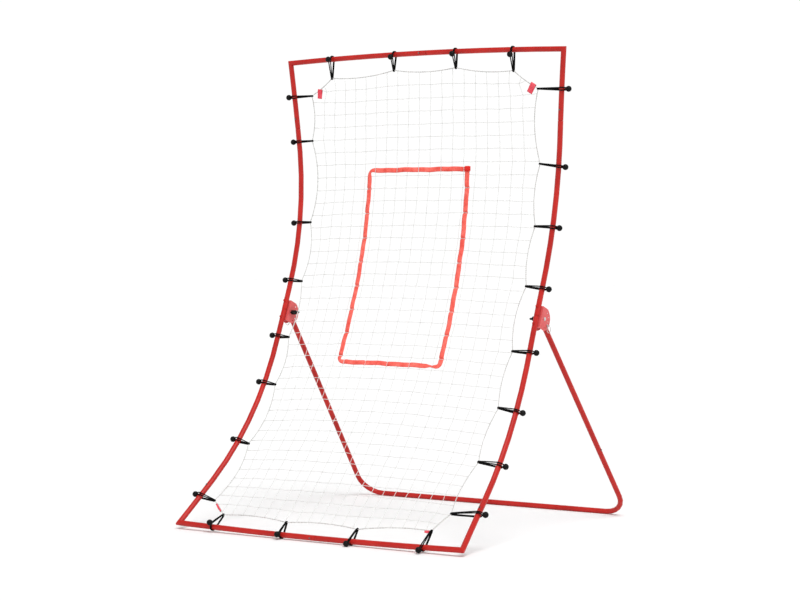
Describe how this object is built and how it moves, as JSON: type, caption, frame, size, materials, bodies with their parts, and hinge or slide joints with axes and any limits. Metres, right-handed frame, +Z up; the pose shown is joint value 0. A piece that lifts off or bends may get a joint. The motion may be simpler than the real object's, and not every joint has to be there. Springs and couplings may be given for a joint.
{
  "type": "pitching target net",
  "caption": "Curved tube frame holding a rebound net with a marked strike zone on ball bungees, with a folding rear stand.",
  "frame": {"origin": "middle of the ground plan, on the ground", "axes": "+Z up, the thrower stands at -Y, the folding stand is at +Y, +X is the thrower's right"},
  "size_m": [1.2644, 1.261, 1.7716],
  "materials": {
    "top_bar_left": "red powder coat",
    "top_bar_right": "red powder coat",
    "bottom_bar_left": "red powder coat",
    "bottom_bar_right": "red powder coat",
    "rail_upper_left": "red powder coat",
    "rail_upper_right": "red powder coat",
    "rail_lower_left": "red powder coat",
    "rail_lower_right": "red powder coat",
    "leg_left": "red powder coat",
    "leg_right": "red powder coat",
    "foot_bar_left": "red powder coat",
    "foot_bar_right": "red powder coat",
    "bracket_left": "paler red powder coat",
    "bracket_right": "paler red powder coat",
    "bracket_bolt_upper_left": "red powder coat",
    "bracket_bolt_upper_right": "red powder coat",
    "bracket_bolt_lower_left": "red powder coat",
    "bracket_bolt_lower_right": "red powder coat",
    "pivot_bolt_left": "zinc plated",
    "pivot_bolt_right": "zinc plated",
    "wing_knob_left": "moulded black plastic",
    "wing_knob_right": "moulded black plastic",
    "lock_pin_left": "zinc plated",
    "lock_pin_right": "zinc plated",
    "snap_button_top": "zinc plated",
    "snap_button_bottom": "zinc plated",
    "snap_button_rear": "zinc plated",
    "snap_button_upper_left": "zinc plated",
    "snap_button_upper_right": "zinc plated",
    "snap_button_lower_left": "zinc plated",
    "snap_button_lower_right": "zinc plated",
    "snap_button_leg_left": "zinc plated",
    "snap_button_leg_right": "zinc plated",
    "net_mesh": "white knotted cord",
    "border_cord": "white cord",
    "strike_zone_ribbon": "red woven ribbon",
    "bungee_left_1": "black elastic cord and ball",
    "bungee_left_2": "black elastic cord and ball",
    "bungee_left_3": "black elastic cord and ball",
    "bungee_left_4": "black elastic cord and ball",
    "bungee_left_5": "black elastic cord and ball",
    "bungee_left_6": "black elastic cord and ball",
    "bungee_left_7": "black elastic cord and ball",
    "bungee_left_8": "black elastic cord and ball",
    "bungee_right_1": "black elastic cord and ball",
    "bungee_right_2": "black elastic cord and ball",
    "bungee_right_3": "black elastic cord and ball",
    "bungee_right_4": "black elastic cord and ball",
    "bungee_right_5": "black elastic cord and ball",
    "bungee_right_6": "black elastic cord and ball",
    "bungee_right_7": "black elastic cord and ball",
    "bungee_right_8": "black elastic cord and ball",
    "bungee_top_1": "black elastic cord and ball",
    "bungee_top_2": "black elastic cord and ball",
    "bungee_top_3": "black elastic cord and ball",
    "bungee_top_4": "black elastic cord and ball",
    "bungee_bottom_1": "black elastic cord and ball",
    "bungee_bottom_2": "black elastic cord and ball",
    "bungee_bottom_3": "black elastic cord and ball",
    "bungee_bottom_4": "black elastic cord and ball"
  },
  "bodies": {
    "frame": {"top_bar_left": "top_bar_left", "top_bar_right": "top_bar_right", "bottom_bar_left": "bottom_bar_left", "bottom_bar_right": "bottom_bar_right", "rail_upper_left": "rail_upper_left", "rail_upper_right": "rail_upper_right", "rail_lower_left": "rail_lower_left", "rail_lower_right": "rail_lower_right", "bracket_left": "bracket_left", "bracket_right": "bracket_right", "bracket_bolt_upper_left": "bracket_bolt_upper_left", "bracket_bolt_upper_right": "bracket_bolt_upper_right", "bracket_bolt_lower_left": "bracket_bolt_lower_left", "bracket_bolt_lower_right": "bracket_bolt_lower_right", "pivot_bolt_left": "pivot_bolt_left", "pivot_bolt_right": "pivot_bolt_right", "net_mesh": "net_mesh", "border_cord": "border_cord", "strike_zone_ribbon": "strike_zone_ribbon", "bungee_left_1": "bungee_left_1", "bungee_left_2": "bungee_left_2", "bungee_left_3": "bungee_left_3", "bungee_left_4": "bungee_left_4", "bungee_left_5": "bungee_left_5", "bungee_left_6": "bungee_left_6", "bungee_left_7": "bungee_left_7", "bungee_left_8": "bungee_left_8", "bungee_right_1": "bungee_right_1", "bungee_right_2": "bungee_right_2", "bungee_right_3": "bungee_right_3", "bungee_right_4": "bungee_right_4", "bungee_right_5": "bungee_right_5", "bungee_right_6": "bungee_right_6", "bungee_right_7": "bungee_right_7", "bungee_right_8": "bungee_right_8", "bungee_top_1": "bungee_top_1", "bungee_top_2": "bungee_top_2", "bungee_top_3": "bungee_top_3", "bungee_top_4": "bungee_top_4", "bungee_bottom_1": "bungee_bottom_1", "bungee_bottom_2": "bungee_bottom_2", "bungee_bottom_3": "bungee_bottom_3", "bungee_bottom_4": "bungee_bottom_4"},
    "stand": {"leg_left": "leg_left", "leg_right": "leg_right", "foot_bar_left": "foot_bar_left", "foot_bar_right": "foot_bar_right"},
    "pin_left": {"lock_pin_left": "lock_pin_left"},
    "pin_right": {"lock_pin_right": "lock_pin_right"},
    "knob_left": {"wing_knob_left": "wing_knob_left"},
    "knob_right": {"wing_knob_right": "wing_knob_right"},
    "button_top": {"snap_button_top": "snap_button_top"},
    "button_bottom": {"snap_button_bottom": "snap_button_bottom"},
    "button_rear": {"snap_button_rear": "snap_button_rear"},
    "button_upper_left": {"snap_button_upper_left": "snap_button_upper_left"},
    "button_upper_right": {"snap_button_upper_right": "snap_button_upper_right"},
    "button_lower_left": {"snap_button_lower_left": "snap_button_lower_left"},
    "button_lower_right": {"snap_button_lower_right": "snap_button_lower_right"},
    "button_leg_left": {"snap_button_leg_left": "snap_button_leg_left"},
    "button_leg_right": {"snap_button_leg_right": "snap_button_leg_right"}
  },
  "joints": [
    {"name": "stand_fold", "type": "hinge", "parent": "frame", "child": "stand", "pos_m": [0, 0.02716, 0.77425], "axis": [1, 0, 0], "range_deg": [-60, 90]},
    {"name": "pin_left_pull", "type": "slide", "parent": "frame", "child": "pin_left", "axis": [-1, 0, 0], "range_m": [0, 0.03]},
    {"name": "pin_right_pull", "type": "slide", "parent": "frame", "child": "pin_right", "axis": [1, 0, 0], "range_m": [0, 0.03]},
    {"name": "knob_left_turn", "type": "hinge", "parent": "frame", "child": "knob_left", "pos_m": [-0.5585, 0.02716, 0.77425], "axis": [1, 0, 0], "continuous": true},
    {"name": "knob_right_turn", "type": "hinge", "parent": "frame", "child": "knob_right", "pos_m": [0.5585, 0.02716, 0.77425], "axis": [1, 0, 0], "continuous": true},
    {"name": "button_top_press", "type": "slide", "parent": "frame", "child": "button_top", "axis": [0, 1, 0], "range_m": [0, 0.003], "stiffness_N_per_m": 300, "springref_m": -0.002},
    {"name": "button_bottom_press", "type": "slide", "parent": "frame", "child": "button_bottom", "axis": [0, 1, 0], "range_m": [0, 0.003], "stiffness_N_per_m": 300, "springref_m": -0.002},
    {"name": "button_rear_press", "type": "slide", "parent": "stand", "child": "button_rear", "axis": [0, 1, 0], "range_m": [0, 0.003], "stiffness_N_per_m": 300, "springref_m": -0.002},
    {"name": "button_upper_left_press", "type": "slide", "parent": "frame", "child": "button_upper_left", "axis": [0, 0.9978, 0.067], "range_m": [0, 0.003], "stiffness_N_per_m": 300, "springref_m": -0.002},
    {"name": "button_upper_right_press", "type": "slide", "parent": "frame", "child": "button_upper_right", "axis": [0, 0.9978, 0.067], "range_m": [0, 0.003], "stiffness_N_per_m": 300, "springref_m": -0.002},
    {"name": "button_lower_left_press", "type": "slide", "parent": "frame", "child": "button_lower_left", "axis": [-0.0002, 0.631, -0.7758], "range_m": [0, 0.003], "stiffness_N_per_m": 300, "springref_m": -0.002},
    {"name": "button_lower_right_press", "type": "slide", "parent": "frame", "child": "button_lower_right", "axis": [0.0002, 0.631, -0.7758], "range_m": [0, 0.003], "stiffness_N_per_m": 300, "springref_m": -0.002},
    {"name": "button_leg_left_press", "type": "slide", "parent": "stand", "child": "button_leg_left", "axis": [0.9988, 0.0298, -0.0383], "range_m": [0, 0.003], "stiffness_N_per_m": 300, "springref_m": -0.002},
    {"name": "button_leg_right_press", "type": "slide", "parent": "stand", "child": "button_leg_right", "axis": [-0.9988, 0.0298, -0.0383], "range_m": [0, 0.003], "stiffness_N_per_m": 300, "springref_m": -0.002}
  ]
}
